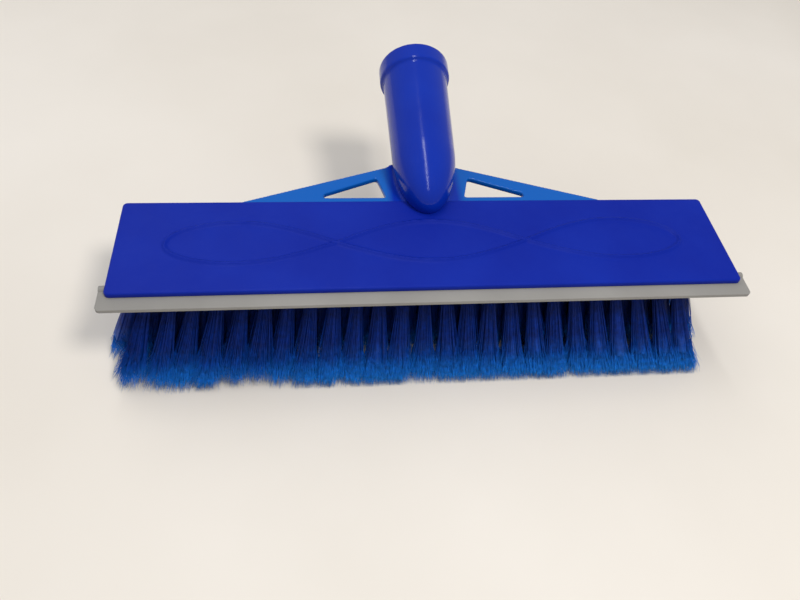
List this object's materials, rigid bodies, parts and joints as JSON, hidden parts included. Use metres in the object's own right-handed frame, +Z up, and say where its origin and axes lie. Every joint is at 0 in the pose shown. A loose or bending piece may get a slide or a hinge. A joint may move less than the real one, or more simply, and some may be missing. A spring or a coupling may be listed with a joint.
{
  "type": "wall brush head",
  "caption": "Wide flat brush head with an angled handle socket, windowed side wings, a squeegee blade and rows of flared bristle tufts.",
  "frame": {"origin": "middle of the footprint, on the surface that the bristle tips stand on", "axes": "+X along the head to the right seen from the blade side, +Y back towards the handle socket, +Z up"},
  "size_m": [0.3152, 0.161, 0.1014],
  "materials": {
    "cover": "textured plate, glossier socket and wings",
    "board": "matte moulded",
    "bristles": "drawn filament with flagged tips",
    "blade": "matte soft",
    "screws": "plain"
  },
  "bodies": {
    "root": {"head_cover": "cover", "tuft_board": "board", "squeegee_blade": "blade", "tufts_row1_a": "bristles", "tufts_row1_b": "bristles", "tufts_row1_c": "bristles", "tufts_row1_d": "bristles", "tufts_row1_e": "bristles", "tufts_row2_a": "bristles", "tufts_row2_b": "bristles", "tufts_row2_c": "bristles", "tufts_row2_d": "bristles", "tufts_row2_e": "bristles", "tufts_row3_a": "bristles", "tufts_row3_b": "bristles", "tufts_row3_c": "bristles", "tufts_row3_d": "bristles", "tufts_row3_e": "bristles", "tufts_row4_a": "bristles", "tufts_row4_b": "bristles", "tufts_row4_c": "bristles", "tufts_row4_d": "bristles", "tufts_row4_e": "bristles", "tufts_row5_a": "bristles", "tufts_row5_b": "bristles", "tufts_row5_c": "bristles", "tufts_row5_d": "bristles", "tufts_row5_e": "bristles", "screw_1": "screws", "screw_2": "screws", "screw_3": "screws", "screw_4": "screws", "screw_5": "screws", "screw_6": "screws"}
  },
  "joints": []
}
